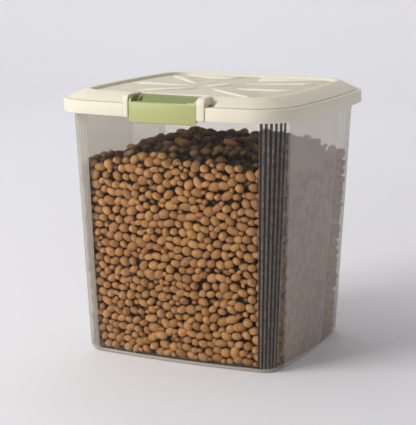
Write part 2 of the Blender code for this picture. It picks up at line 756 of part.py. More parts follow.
def make_liner_screws():
    screws = []
    head_top = LINER_Z - TOUCH_GAP
    for number, (x, y) in enumerate(screw_places(), 1):
        name = f"liner_screw_{number}"
        head = rod_z(name, SCREW_HEAD_RADIUS, x, y, (head_top - SCREW_HEAD_HEIGHT, head_top), 16)
        screw = put(name, head, STEEL)
        shank_top = LINER_TOP_Z + TOUCH_GAP + SCREW_BITE
        shank = (head_top - 0.0005, shank_top)
        join(screw, rod_z(f"screw_shank_{number}", SCREW_SHANK_RADIUS, x, y, shank, 10))
        for turn, (along, across) in enumerate(((0.0015, 0.0003), (0.0003, 0.0015)), 1):
            slot = box(
                f"screw_slot_{number}_{turn}",
                (x - along, x + along),
                (y - across, y + across),
                (head_top - SCREW_HEAD_HEIGHT - 0.001, head_top - SCREW_HEAD_HEIGHT + 0.0007),
            )
            cut(screw, slot)
        screws.append(screw)
    return screws


# ---- Latch -----------------------------------------------------------------------------------


def latch_outline():
    """The latch seen from its side: front plate, finger scoop, pin boss and hook."""
    front = LATCH_FRONT
    plate = front + LATCH_PLATE
    lip_z = LATCH_BOTTOM + LATCH_HEIGHT - 0.0070
    foot = LATCH_BOTTOM
    boss = arc((PIN_Y, PIN_Z), LATCH_BOSS_RADIUS, 35, -160, 10)
    scoop_depth = LATCH_BACK - plate
    scoop = [
        (front, lip_z - 0.0012),
        (front + 0.0004, lip_z - 0.0003),
        (front + 0.0014, lip_z),
        (plate - 0.0003, lip_z - 0.0006),
        (plate + 0.07 * scoop_depth, lip_z - 0.0022),
        (plate + 0.18 * scoop_depth, lip_z - 0.0027),
        (plate + 0.30 * scoop_depth, lip_z - 0.0012),
        (plate + 0.43 * scoop_depth, lip_z + 0.0011),
        (plate + 0.60 * scoop_depth, lip_z + 0.0038),
        (plate + 0.80 * scoop_depth, lip_z + 0.0050),
        (LATCH_BACK, lip_z + 0.0056),
    ]
    underside = [
        (LATCH_BACK - 0.0003, lip_z + 0.0040),
        (plate + 0.80 * scoop_depth, lip_z + 0.0033),
        (plate + 0.60 * scoop_depth, lip_z + 0.0020),
        (plate + 0.44 * scoop_depth, lip_z - 0.0007),
        (plate + 0.33 * scoop_depth, lip_z - 0.0024),
    ]
    hook = [
        (plate, PIN_Z - 0.0012),
        (plate, foot + 0.0072),
        (plate + HOOK_REACH, foot + 0.0064),
        (plate + HOOK_REACH, foot + 0.0050),
        (plate, foot + 0.0030),
        (plate, foot + 0.0010),
        (plate - 0.0008, foot),
        (front + 0.0008, foot),
        (front, foot + 0.0008),
    ]
    return scoop + underside + boss + hook


def end_wall_outline():
    """The cheek that closes each end of the finger scoop."""
    front = LATCH_FRONT
    lip_z = LATCH_BOTTOM + LATCH_HEIGHT - 0.0070
    top = LATCH_BOTTOM + LATCH_HEIGHT - 0.0011
    return [
        (front + 0.0001, lip_z - 0.0060),
        (front + 0.0001, lip_z - 0.0004),
        (front + 0.0014, lip_z + 0.0026),
        (front + 0.0048, top - 0.0010),
        (front + 0.0095, top),
        (LATCH_BACK - 0.0002, top),
        (LATCH_BACK - 0.0002, lip_z + 0.0030),
        (front + 0.0105, lip_z - 0.0020),
    ]


def teardrop(x, z, radius, height, steps=8):
    """A round-bottomed hole that comes to a point at its top, in X and Z."""
    round_part = arc((x, z), radius, 160, 380, steps)
    return round_part + [(x, z + height)]


def make_latch():
    latch = put(
        "latch_lever", prism("latch_lever", latch_outline(), "X", LATCH_LEFT, LATCH_RIGHT), GREEN_PLASTIC
    )
    for name, start, end in (
        ("left_cheek", LATCH_LEFT, LATCH_LEFT + SCOOP_END_WALL),
        ("right_cheek", LATCH_RIGHT - SCOOP_END_WALL, LATCH_RIGHT),
    ):
        join(latch, prism(name, end_wall_outline(), "X", start, end))
    lip_z = LATCH_BOTTOM + LATCH_HEIGHT - 0.0070
    land = box(
        "scoop_land",
        (LATCH_RIGHT - 0.0105, LATCH_RIGHT - 0.0010),
        (LATCH_FRONT + 0.0010, LATCH_FRONT + 0.0072),
        (lip_z - 0.0040, lip_z + 0.0010),
    )
    join(latch, land)
    low = LATCH_BOTTOM
    high = LATCH_BOTTOM + LATCH_HEIGHT
    corners = (
        (LATCH_RIGHT, low, 0.0045, -90),
        (LATCH_RIGHT, high, 0.0060, 0),
        (LATCH_LEFT, high, 0.0060, 90),
        (LATCH_LEFT, low, 0.0045, 180),
    )
    face = []
    for x, z, radius, start in corners:
        centre = (x - math.copysign(radius, x), z + (radius if z == low else -radius))
        face += arc(centre, radius, start, start + 90, 6)
    blank = put(
        "latch_blank", prism("latch_blank", face, "Y", LATCH_FRONT - 0.01, LATCH_BACK + 0.01), tool=True
    )
    boolean(latch, blank, "INTERSECT")
    bore = LATCH_PIN_RADIUS + TOUCH_GAP
    cut(latch, rod_x("latch_bore", bore, (LATCH_LEFT - 0.001, LATCH_RIGHT + 0.001), PIN_Y, PIN_Z, 14))
    drain = teardrop(LATCH_LEFT + 0.0085, lip_z + 0.0004, 0.0017, 0.0044)
    cut(latch, prism("scoop_hole", drain, "Y", LATCH_FRONT + 0.0100, LATCH_BACK + 0.0030))
    return latch


# ---- Pins ------------------------------------------------------------------------------------


def make_latch_pin():
    ends = (EAR_LEFT_X + TOUCH_GAP, EAR_RIGHT_X - TOUCH_GAP)
    return put("latch_pin", rod_x("latch_pin", LATCH_PIN_RADIUS, ends, PIN_Y, PIN_Z, 16), STEEL)


def make_hinge_pins():
    pins = []
    for name, (_, collar_limits) in zip(("hinge_pin_left", "hinge_pin_right"), knuckle_places()):
        ends = (collar_limits[0][0] + TOUCH_GAP, collar_limits[1][1] - TOUCH_GAP)
        pins.append(put(name, rod_x(name, HINGE_PIN_RADIUS, ends, HINGE_Y, HINGE_Z, 14), STEEL))
    return pins


# ---- Joint axes ------------------------------------------------------------------------------


def axis_empty(name, place, parent=None):
    empty = bpy.data.objects.new(name, None)
    empty.empty_display_size = 0.02
    BIN.objects.link(empty)
    hang(empty, parent, place)
    return empty


def hang(child, parent, place=(0.0, 0.0, 0.0)):
    """Puts a child at a place in the world, under a parent that is only moved, not turned."""
    origin = Vector((0.0, 0.0, 0.0))
    above = parent
    while above is not None:
        origin += above.location
        above = above.parent
    child.parent = parent
    child.location = Vector(place) - origin


def main():
    tub = make_tub()
    collar_slide = axis_empty("collar_slide", (0.0, 0.0, TUB_HEIGHT), tub)
    lid_hinge = axis_empty("lid_hinge", (0.0, HINGE_Y, HINGE_Z), collar_slide)
    latch_pivot = axis_empty("latch_pivot", (LATCH_CENTRE, PIN_Y, PIN_Z), lid_hinge)
    for part in [make_collar(), make_gasket(), *make_hinge_pins()]:
        hang(part, collar_slide)
    lid_parts = [make_lid_shell(), make_top_panel(), make_liner(), make_lid_seal()]
    for part in [*lid_parts, make_latch_pin(), *make_liner_screws()]:
        hang(part, lid_hinge)
    hang(make_latch(), latch_pivot)


main()
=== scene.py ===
# %% [markdown]
# # A pet food bin
#
# The bin is a clear tapered tub with fluted corners, a cream collar that clips over its top edge,
# a flip lid hinged at the back and a green rocker latch at the front. The CAD model gives every
# piece its place and size. This lesson gives the pieces soft edges and real plastic, and fills the
# tub with dry food.

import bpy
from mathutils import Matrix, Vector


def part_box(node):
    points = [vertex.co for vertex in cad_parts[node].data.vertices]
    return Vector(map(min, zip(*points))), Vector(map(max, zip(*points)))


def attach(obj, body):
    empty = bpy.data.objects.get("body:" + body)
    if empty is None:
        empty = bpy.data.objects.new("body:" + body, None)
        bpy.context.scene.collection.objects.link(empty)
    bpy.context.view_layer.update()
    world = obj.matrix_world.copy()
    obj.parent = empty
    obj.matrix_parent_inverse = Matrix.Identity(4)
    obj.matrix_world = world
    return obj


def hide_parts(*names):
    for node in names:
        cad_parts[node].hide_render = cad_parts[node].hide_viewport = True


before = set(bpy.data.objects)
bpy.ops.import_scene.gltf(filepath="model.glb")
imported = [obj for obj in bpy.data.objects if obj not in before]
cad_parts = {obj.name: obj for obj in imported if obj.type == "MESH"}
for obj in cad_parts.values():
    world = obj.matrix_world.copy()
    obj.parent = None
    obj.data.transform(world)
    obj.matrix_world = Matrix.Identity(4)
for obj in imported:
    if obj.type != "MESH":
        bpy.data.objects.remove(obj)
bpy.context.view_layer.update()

# %% Modules and the sizes this lesson needs
import math

import bmesh
import bpy
import numpy as np
from mathutils import Matrix, Vector
from mathutils.kdtree import KDTree

MM = 0.001
TUB_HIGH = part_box("tub")[1]
PANEL_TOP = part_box("lid_top_panel")[1].z
FLANGE = 3.0 * MM
WALL = 2.2 * MM
TAPER = 12.8 * MM
BOW = 7.8 * MM
CORNER_TOP = 29.5 * MM
CORNER_FOOT = 21.9 * MM
HEIGHT = TUB_HIGH.z
HALF_WIDTH = TUB_HIGH.x - FLANGE
HALF_DEPTH = TUB_HIGH.y - FLANGE
print(f"tub {2 * HALF_WIDTH:.4f} x {2 * HALF_DEPTH:.4f} x {HEIGHT:.4f} m")

# %% [markdown]
# ## Writing shaders as sums
#
# Blender builds a material from nodes. A mask such as "near the corner and above the food" takes
# many Math nodes, which are slow to write one by one and hard to read. Here one small class wraps
# a socket and overloads the operators, so that a mask is written as a plain expression, and a
# recipe class makes every other node from its type, its settings and its inputs.


# %% Sockets that can be added and multiplied
class Wire:
    """An output socket that takes part in sums with numbers and other wires."""

    def __init__(self, tree, socket):
        self.tree = tree
        self.socket = socket

    def sum_node(self, operation, first, second=None):
        node = self.tree.nodes.new("ShaderNodeMath")
        node.operation = operation
        for place, value in enumerate((first, second)):
            if isinstance(value, Wire):
                self.tree.links.new(value.socket, node.inputs[place])
            elif value is not None:
                node.inputs[place].default_value = value
        return Wire(self.tree, node.outputs[0])

    def __add__(self, other):
        return self.sum_node("ADD", self, other)

    def __radd__(self, other):
        return self.sum_node("ADD", other, self)

    def __sub__(self, other):
        return self.sum_node("SUBTRACT", self, other)

    def __rsub__(self, other):
        return self.sum_node("SUBTRACT", other, self)

    def __mul__(self, other):
        return self.sum_node("MULTIPLY", self, other)

    def __rmul__(self, other):
        return self.sum_node("MULTIPLY", other, self)

    def __abs__(self):
        return self.sum_node("ABSOLUTE", self)


# %% Recipes: one material each
class Recipe:
    """A new material whose nodes are added one at a time."""

    def __init__(self, name):
        self.material = bpy.data.materials.new(name)
        self.material.use_nodes = True
        self.tree = self.material.node_tree
        self.tree.nodes.clear()

    def node(self, kind, settings=None, values=None, out=0):
        made = self.tree.nodes.new(kind)
        for key, value in (settings or {}).items():
            setattr(made, key, value)
        for key, value in (values or {}).items():
            if isinstance(value, Wire):
                self.tree.links.new(value.socket, made.inputs[key])
            else:
                made.inputs[key].default_value = value
        return Wire(self.tree, made.outputs[out])

    def place(self):
        """The point on the piece, in metres."""
        return self.node("ShaderNodeTexCoord", out=3)

    def axes(self, vector):
        made = self.tree.nodes.new("ShaderNodeSeparateXYZ")
        self.tree.links.new(vector.socket, made.inputs[0])
        return [Wire(self.tree, socket) for socket in made.outputs]

    def noise(self, vector, scale, detail=2.0, roughness=0.5):
        values = {"Vector": vector, "Scale": scale, "Detail": detail, "Roughness": roughness}
        return self.node("ShaderNodeTexNoise", None, values)

    def ramp(self, value, low, high):
        """0 below low, 1 above high, with a smooth step between."""
        settings = {"interpolation_type": "SMOOTHSTEP"}
        values = {"Value": value, "From Min": low, "From Max": high, "To Min": 0.0, "To Max": 1.0}
        return self.node("ShaderNodeMapRange", settings, values)

    def mix(self, factor, first, second):
        """A colour between two colours."""
        first = first if isinstance(first, Wire) else (*first, 1.0)
        second = second if isinstance(second, Wire) else (*second, 1.0)
        values = {0: factor, 6: first, 7: second}
        return self.node("ShaderNodeMix", {"data_type": "RGBA"}, values, out=2)

    def bump(self, height, strength, distance):
        values = {"Height": height, "Strength": strength, "Distance": distance}
        return self.node("ShaderNodeBump", None, values)

    def plastic(self, values):
        return self.node("ShaderNodeBsdfPrincipled", None, values)

    def done(self, surface):
        output = self.tree.nodes.new("ShaderNodeOutputMaterial")
        self.tree.links.new(surface.socket, output.inputs["Surface"])
        return self.material


# %% [markdown]
# ## Moulded plastic
#
# The collar, lid, panel and latch are injection moulded. Such plastic isn't one flat colour: it
# flows into the mould in faint clouds, and its skin has a fine satin grain from the steel. Two
# noises give the clouds and one the grain, and both also break up the gloss a little. A noise in
# object coordinates needs no unwrapping and keeps its scale on every piece.


# %% Satin plastic in any colour
def satin_parts(recipe, colour, cloudy=0.05, gloss=0.40, grain=0.05 * MM):
    """The inputs shared by all moulded plastics: clouded colour, uneven gloss and a fine grain."""
    place = recipe.place()
    clouds = recipe.noise(place, 38.0, 3.0)
    fine = recipe.noise(place, 1500.0, 2.0)
    flow = recipe.noise(place, 9.0, 1.0)
    darker = tuple(channel * (1.0 - 2.4 * cloudy) for channel in colour)
    lighter = tuple(min(1.0, channel * (1.0 + cloudy)) for channel in colour)
    shade = recipe.mix(clouds * 0.6 + flow * 0.4, darker, lighter)
    rough = gloss - 0.05 + 0.10 * clouds + 0.05 * fine
    skin = recipe.bump(fine + flow * 6.0, 0.35, grain)
    return shade, rough, skin


def satin_plastic(name, colour, cloudy=0.05, gloss=0.40, grain=0.05 * MM):
    recipe = Recipe(name)
    shade, rough, skin = satin_parts(recipe, colour, cloudy, gloss, grain)
    values = {"Base Color": shade, "Roughness": rough, "Normal": skin, "Specular IOR Level": 0.45}
    return recipe.done(recipe.plastic(values))


CREAM = satin_plastic("cream_satin_plastic", (0.84, 0.785, 0.635), cloudy=0.02, gloss=0.38)
LINER_WHITE = satin_plastic("white_liner_plastic", (0.76, 0.74, 0.68), cloudy=0.04, gloss=0.5)
SILICONE = satin_plastic("grey_silicone", (0.55, 0.54, 0.51), cloudy=0.06, gloss=0.62)


# %% [markdown]
# The sunken panel is one cream moulding with pads that stand up from it. Its ground is painted a
# duller, greyer cream as shade, and the polished pads a bright cream as a painted highlight, as if
# they caught the light. One material tells them apart by height: above the ground it turns to the
# pads' bright cream and their smoother skin.


# %% The panel's painted shade on the ground and painted highlight on the pads
def panel_plastic():
    recipe = Recipe("panel_painted_light_plastic")
    ground, rough, skin = satin_parts(recipe, (0.74, 0.68, 0.54), cloudy=0.04, gloss=0.5)
    height = recipe.axes(recipe.place())[2]
    pad = recipe.ramp(height, PANEL_TOP - 0.5 * MM, PANEL_TOP - 0.2 * MM)
    # Painted light: the ground's greyer colour is painted shade and the pads' bright cream is a
    # painted highlight.
    shade = recipe.mix(pad, ground, (0.95, 0.92, 0.80))
    values = {"Base Color": shade, "Roughness": rough - 0.12 * pad, "Normal": skin}
    return recipe.done(recipe.plastic(values))


PANEL = panel_plastic()


# %% The latch's green, with painted shade inside the finger scoop
def latch_plastic():
    recipe = Recipe("green_satin_plastic")
    face, rough, skin = satin_parts(recipe, (0.455, 0.490, 0.195), cloudy=0.04, gloss=0.36)
    y, z = recipe.axes(recipe.place())[1:]
    latch_low, latch_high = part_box("latch_lever")
    # Painted shade: behind the lip and high on the latch, the green turns dark as if the finger scoop
    # were in shadow.
    behind_lip = recipe.ramp(y, latch_low.y + 1.9 * MM, latch_low.y + 3.0 * MM)
    up = recipe.ramp(z, latch_high.z - 13 * MM, latch_high.z - 10 * MM)
    shade = recipe.mix(behind_lip * up, face, (0.235, 0.285, 0.095))
    values = {"Base Color": shade, "Roughness": rough, "Normal": skin}
    return recipe.done(recipe.plastic(values))


GREEN = latch_plastic()


# %% [markdown]
# ## Steel pins and screws
#
# Drawn steel shows fine lines along the bar and a slightly uneven gloss. A noise stretched along X
# gives the lines, because every pin lies along X. The screws get the same finish.


# %% Drawn steel
def drawn_steel():
    recipe = Recipe("drawn_steel")
    stretched = recipe.node(
        "ShaderNodeMapping", None, {"Vector": recipe.place(), "Scale": (60.0, 2600.0, 2600.0)}
    )
    lines = recipe.noise(stretched, 1.0, 2.0)
    shade = recipe.mix(lines, (0.46, 0.46, 0.47), (0.66, 0.66, 0.66))
    values = {
        "Base Color": shade,
        "Roughness": 0.22 + 0.18 * lines,
        "Metallic": 1.0,
        "Normal": recipe.bump(lines, 0.2, 0.03 * MM),
    }
    return recipe.done(recipe.plastic(values))


STEEL = drawn_steel()

# %% [markdown]
# ## Softening the edges of a CAD piece
#
# A CAD solid has knife edges, and no moulding does: a real edge has a small radius that catches
# the light. Rounding them in CAD would cost thousands of triangles that the moving model doesn't
# need. So each large visible piece is copied, its loose triangles are merged back into flat faces,
# and a Bevel modifier rounds every edge sharper than 30 degrees.


# %% Copy, merge, bevel
def softened(node, name, finish, radius, body, segments=2):
    """A copy of a CAD node with rounded edges, which stands for it."""
    shape = bmesh.new()
    shape.from_mesh(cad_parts[node].data)
    bmesh.ops.remove_doubles(shape, verts=shape.verts, dist=0.002 * MM)
    bmesh.ops.dissolve_limit(
        shape, angle_limit=math.radians(0.2), verts=shape.verts, edges=shape.edges
    )
    mesh = bpy.data.meshes.new(name)
    shape.to_mesh(mesh)
    shape.free()
    piece = bpy.data.objects.new(name, mesh)
    bpy.context.scene.collection.objects.link(piece)
    step = piece.modifiers.new("rounded_edges", "BEVEL")
    step.width = radius
    step.segments = segments
    step.limit_method = "ANGLE"
    step.angle_limit = math.radians(30)
    step.use_clamp_overlap = True
    step.harden_normals = False
    settle(piece, finish, body, replaced=(node,))


def settle(piece, finish, body, replaced=(), smooth_angle=40):
    """Turns a piece's modifiers into its mesh, shades it, and puts it on its body."""
    bpy.context.view_layer.update()
    graph = bpy.context.evaluated_depsgraph_get()
    mesh = bpy.data.meshes.new_from_object(piece.evaluated_get(graph))
    piece.modifiers.clear()
    piece.data = mesh
    mesh.materials.clear()
    mesh.materials.append(finish)
    for face in mesh.polygons:
        face.material_index = 0
        face.use_smooth = True
    mesh.set_sharp_from_angle(angle=math.radians(smooth_angle))
    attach(piece, body)
    if replaced:
        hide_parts(*replaced)
    print(f"{piece.name}: {len(mesh.polygons)} faces on {body}")


# %% The collar, the lid, its panel and the latch
softened("collar_ring", "collar_band", CREAM, 0.7 * MM, "collar")
softened("lid_shell", "flip_lid", CREAM, 0.6 * MM, "lid")
softened("lid_top_panel", "lid_relief_panel", PANEL, 0.25 * MM, "lid")
softened("latch_lever", "rocker_latch", GREEN, 0.5 * MM, "latch", segments=3)

# %% Pins, screws, seals and the liner keep their CAD shape
FINISHES = {
    "hinge_pin_left": STEEL,
    "hinge_pin_right": STEEL,
    "latch_pin": STEEL,
    "lid_liner": LINER_WHITE,
    "lid_seal": SILICONE,
    "collar_gasket": SILICONE,
}
FINISHES.update({f"liner_screw_{number}": STEEL for number in range(1, 7)})
for node, finish in FINISHES.items():
    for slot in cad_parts[node].material_slots:
        slot.material = finish
print("finished as they are:", len(FINISHES))

# %% [markdown]
# ## The tub's outline
#
# Seen from above, the tub is a rounded rectangle whose sides bow outwards, which stiffens the thin
# walls. Each side is a long arc, each corner a short arc tangent to both. The corners carry six
# grooves. The same rule gives the inside of the tub, so the food can be packed against it.


# %% The arcs of one quarter
def arcs(half_width, half_depth, corner):
    """Radii and centres of the side, the end and the corner between them."""
    side = (half_depth**2 + BOW**2) / (2 * BOW)
    end = (half_width**2 + BOW**2) / (2 * BOW)
    side_centre = Vector((half_width - side, 0.0))
    end_centre = Vector((0.0, half_depth - end))
    between = end_centre - side_centre
    reach = side - corner
    along = (between.length**2 + reach**2 - (end - corner) ** 2) / (2 * between.length)
    aside = math.sqrt(reach**2 - along**2)
    way = between.normalized()
    middle = side_centre + way * along + Vector((-way.y, way.x)) * aside
    return side, side_centre, end, end_centre, middle


def tub_size(z, inset):
    share = z / HEIGHT
    shrink = TAPER * (1 - share) + inset
    corner = CORNER_FOOT + (CORNER_TOP - CORNER_FOOT) * share - inset
    return HALF_WIDTH - shrink, HALF_DEPTH - shrink, corner


# %% A whole ring of the tub with its grooves
SIDE_STEPS = 14
PLAIN_STEPS = 6
FLUTES = 6
FLUTE_STEPS = 8
FLUTED_SHARE = 0.78
FLUTE_DEPTH = 0.9 * MM


def tub_ring(z, inset=0.0, flute=0.0):
    """Points anticlockwise from +X, each with its groove depth from 0 to 1 and a corner mark."""
    half_width, half_depth, corner = tub_size(z, inset)
    side, side_centre, end, end_centre, middle = arcs(half_width, half_depth, corner)
    first = math.atan2(middle.y - side_centre.y, middle.x - side_centre.x)
    last = math.atan2(middle.y - end_centre.y, middle.x - end_centre.x)
    quarter = []
    for i in range(SIDE_STEPS):
        a = first * i / SIDE_STEPS
        quarter.append((side_centre.x + side * math.cos(a), side * math.sin(a), 0.0, 0.0))
    steps = FLUTES * FLUTE_STEPS
    for i in range(PLAIN_STEPS + steps + 1):
        along = (i - PLAIN_STEPS) / steps
        share = 1.0 - FLUTED_SHARE * (1.0 - along)
        if along < 0:
            share = (1.0 - FLUTED_SHARE) * i / PLAIN_STEPS
        a = first + (last - first) * share
        groove = 0.5 - 0.5 * math.cos(math.tau * FLUTES * along) if along > 0 else 0.0
        mark = 1.0 if 0 < along < 1 else 0.0
        reach = corner - flute * groove
        x, y = middle.x + reach * math.cos(a), middle.y + reach * math.sin(a)
        quarter.append((x, y, groove, mark))
    for i in range(1, SIDE_STEPS):
        a = last + (math.pi / 2 - last) * i / SIDE_STEPS
        quarter.append((end * math.cos(a), end_centre.y + end * math.sin(a), 0.0, 0.0))
    left = [(-x, y, groove, mark) for x, y, groove, mark in reversed(quarter)]
    half = [*quarter, (0.0, half_depth, 0.0, 0.0), *left]
    front = [(-x, -y, groove, mark) for x, y, groove, mark in half[1:-1]]
    return [(x, y, z, groove, mark) for x, y, groove, mark in half + front]


# %% [markdown]
# ## Clear plastic
#
# A wall 2 mm thick hardly bends light, so what matters is how much it lets through, how much it
# mirrors and where it is hazy. Real glass would make the food dark and noisy, because lamps don't
# reach through it easily. Instead a Transparent shader carries a faint warm tint, a haze stands in
# for the scatter in the plastic, and a gloss grows towards grazing angles.
#
# Masks place what differs over the wall:
#
# - the grooves, painted near black for the dark food refracted in them, most of all at the front
#   right, with a pale painted haze on the ridges for their glints
# - the milkier front left corner, and the foot
# - the frost of the two side walls, with its slanted seam and the round marks of pellets behind it


# %% Masks of the tub
FROST_FRONT = -75.2 * MM
FROST_FRONT_SLANT = 0.0602
SEAM = 23.1 * MM
SEAM_SLANT = 0.068
SEAM_HALF_WIDTH = 1.1 * MM
FROST_BACK = 105 * MM
SIDE_WALL = 94 * MM


def frosted_masks(recipe, x, y, z):
    """The frost of the left and right walls, thinner behind the slanted seam, and the seam itself."""
    front = FROST_FRONT - FROST_FRONT_SLANT * z
    rear = SEAM + SEAM_SLANT * z
    after_front = recipe.ramp(y - front, -0.4 * MM, 0.4 * MM)
    behind = recipe.ramp(y - rear, -0.4 * MM, 0.4 * MM)
    side = recipe.ramp(abs(x), SIDE_WALL, SIDE_WALL + 3 * MM)
    side = side * recipe.ramp(FROST_BACK - y, 0.0, 4 * MM)
    seam = recipe.ramp(SEAM_HALF_WIDTH - abs(y - rear), 0.0, 0.5 * MM) * side
    return after_front * side * (1.0 - 0.35 * behind), seam


def tub_plastic():
    recipe = Recipe("clear_tub_plastic")
    place = recipe.place()
    x, y, z = recipe.axes(place)
    groove = recipe.node("ShaderNodeAttribute", {"attribute_name": "groove"}, out=2)
    corner = recipe.node("ShaderNodeAttribute", {"attribute_name": "corner"}, out=2)
    # Painted shade and highlight: the grooves turn near black, most of all at the front right, and
    # the corner's ridges get a pale haze for glints.
    front_right = recipe.ramp(x, -10 * MM, 10 * MM) * recipe.ramp(0.0 - y, -10 * MM, 10 * MM)
    groove_painted_shade = recipe.ramp(groove, 0.16, 0.50) * (0.08 + 0.92 * front_right)
    frost, seam = frosted_masks(recipe, x, y, z)
    mist = recipe.noise(place, 30.0, 3.0)
    haze = 0.002 + 0.006 * mist + frost * (0.30 + 0.06 * mist) + seam * 0.22
    front_left = recipe.ramp(0.0 - x, 60 * MM, 61 * MM) * recipe.ramp(0.0 - y, 60 * MM, 61 * MM)
    milky_corner = corner * front_left
    foot = recipe.ramp(z, 5.2 * MM, 4.4 * MM)
    haze = haze + corner * (1.0 - groove) * 0.18 + groove_painted_shade * 0.88 + milky_corner * 0.38 + foot * 0.55
    veil = recipe.mix(frost, (0.78, 0.74, 0.66), (0.92, 0.865, 0.79))
    veil = recipe.mix(milky_corner, veil, (0.60, 0.57, 0.50))
    veil = recipe.mix(groove_painted_shade, veil, (0.006, 0.004, 0.003))
    cells = recipe.node("ShaderNodeTexVoronoi", None, {"Vector": place, "Scale": 98.0})
    pressed = recipe.ramp(cells, 0.34, 0.72) * frost * recipe.ramp(z, 222 * MM, 208 * MM)
    veil = recipe.mix(pressed * 0.3, veil, (0.30, 0.26, 0.21))
    clear = recipe.node("ShaderNodeBsdfTransparent", None, {"Color": (0.955, 0.945, 0.92, 1.0)})
    skin = recipe.bump(recipe.noise(place, 14.0, 2.0), 0.15, 0.6 * MM)
    near_side = recipe.plastic({"Base Color": veil, "Roughness": 0.35, "Normal": skin})
    glow = {"Color": (0.80, 0.755, 0.685, 1.0), "Normal": skin}
    far_side = recipe.node("ShaderNodeBsdfTranslucent", None, glow)
    passed = 0.28 * (1.0 - groove_painted_shade)
    milky = recipe.node("ShaderNodeMixShader", None, {0: passed, 1: near_side, 2: far_side})
    shine = recipe.node("ShaderNodeBsdfGlossy", None, {"Roughness": 0.06, "Normal": skin})
    fresnel = recipe.node("ShaderNodeFresnel", None, {"IOR": 1.42, "Normal": skin})
    body = recipe.node("ShaderNodeMixShader", None, {0: haze, 1: clear, 2: milky})
    surface = recipe.node("ShaderNodeMixShader", None, {0: fresnel * 0.18, 1: body, 2: shine})
    return recipe.done(surface)


CLEAR = tub_plastic()


# %% The tub, ring by ring
def make_tub():
    """A foot, a fluted wall, a flange, and an inside with a rounded bottom."""
    foot = 6.5 * MM
    levels = [
        tub_ring(2.4 * MM, foot + 1.2 * MM),
        tub_ring(0.0, foot),
        tub_ring(0.0, 5.0 * MM),
        tub_ring(0.5 * MM, 3.2 * MM),
        tub_ring(1.6 * MM, 1.7 * MM),
        tub_ring(3.2 * MM, 0.7 * MM, FLUTE_DEPTH * 0.3),
        tub_ring(5.6 * MM, 0.1 * MM, FLUTE_DEPTH * 0.8),
        tub_ring(8.5 * MM, 0.0, FLUTE_DEPTH),
        *[tub_ring(z * HEIGHT, 0.0, FLUTE_DEPTH) for z in (0.25, 0.5, 0.75)],
        tub_ring(HEIGHT - 2.6 * MM, 0.0, FLUTE_DEPTH),
        tub_ring(HEIGHT - 2.2 * MM, -FLANGE + 0.3 * MM),
        tub_ring(HEIGHT - 1.9 * MM, -FLANGE),
        tub_ring(HEIGHT - 0.4 * MM, -FLANGE),
        tub_ring(HEIGHT, -FLANGE + 0.4 * MM),
        tub_ring(HEIGHT, WALL - 0.4 * MM),
        tub_ring(HEIGHT - 0.4 * MM, WALL),
        *[tub_ring(z * HEIGHT, WALL) for z in (0.75, 0.5, 0.25)],
        tub_ring(8.2 * MM, WALL),
        tub_ring(6.3 * MM, WALL + 0.5 * MM),
        tub_ring(5.3 * MM, WALL + 1.8 * MM),
        tub_ring(5.0 * MM, WALL + 3.2 * MM),
    ]
    shape = bmesh.new()
    groove = shape.verts.layers.float.new("groove")
    corner = shape.verts.layers.float.new("corner")
    fluted_levels = range(6, 12)
    rings = []
    for number, level in enumerate(levels):
        ring = []
        for px, py, pz, depth, mark in level:
            vertex = shape.verts.new((px, py, pz))
            vertex[groove] = depth if number in fluted_levels else 0.0
            vertex[corner] = mark if number in fluted_levels else 0.0
            ring.append(vertex)
        rings.append(ring)
    for low, high in zip(rings, rings[1:]):
        for i in range(len(low)):
            j = (i + 1) % len(low)
            shape.faces.new((low[i], low[j], high[j], high[i]))
    shape.faces.new(list(reversed(rings[0])))
    shape.faces.new(rings[-1])
    bmesh.ops.recalc_face_normals(shape, faces=shape.faces)
    mesh = bpy.data.meshes.new("clear_tub")
    shape.to_mesh(mesh)
    shape.free()
    tub = bpy.data.objects.new("clear_tub", mesh)
    bpy.context.scene.collection.objects.link(tub)
    settle(tub, CLEAR, "tub", replaced=("tub",), smooth_angle=50)


make_tub()

# %% [markdown]
# ## The dry food
#
# The food is what the eye goes to: thousands of puffed pellets pressed flat against the clear
# walls, with a loose heap on top. A rigid-body run of so many pieces is slow. Only the outer two
# layers show, so the pellets start on a loose grid inside a skin along the walls, the floor and the
# heap, and a few rounds of pushing let them settle: overlapping neighbours part, and the walls and
# the heap's surface keep them in. A dark core fills the middle.


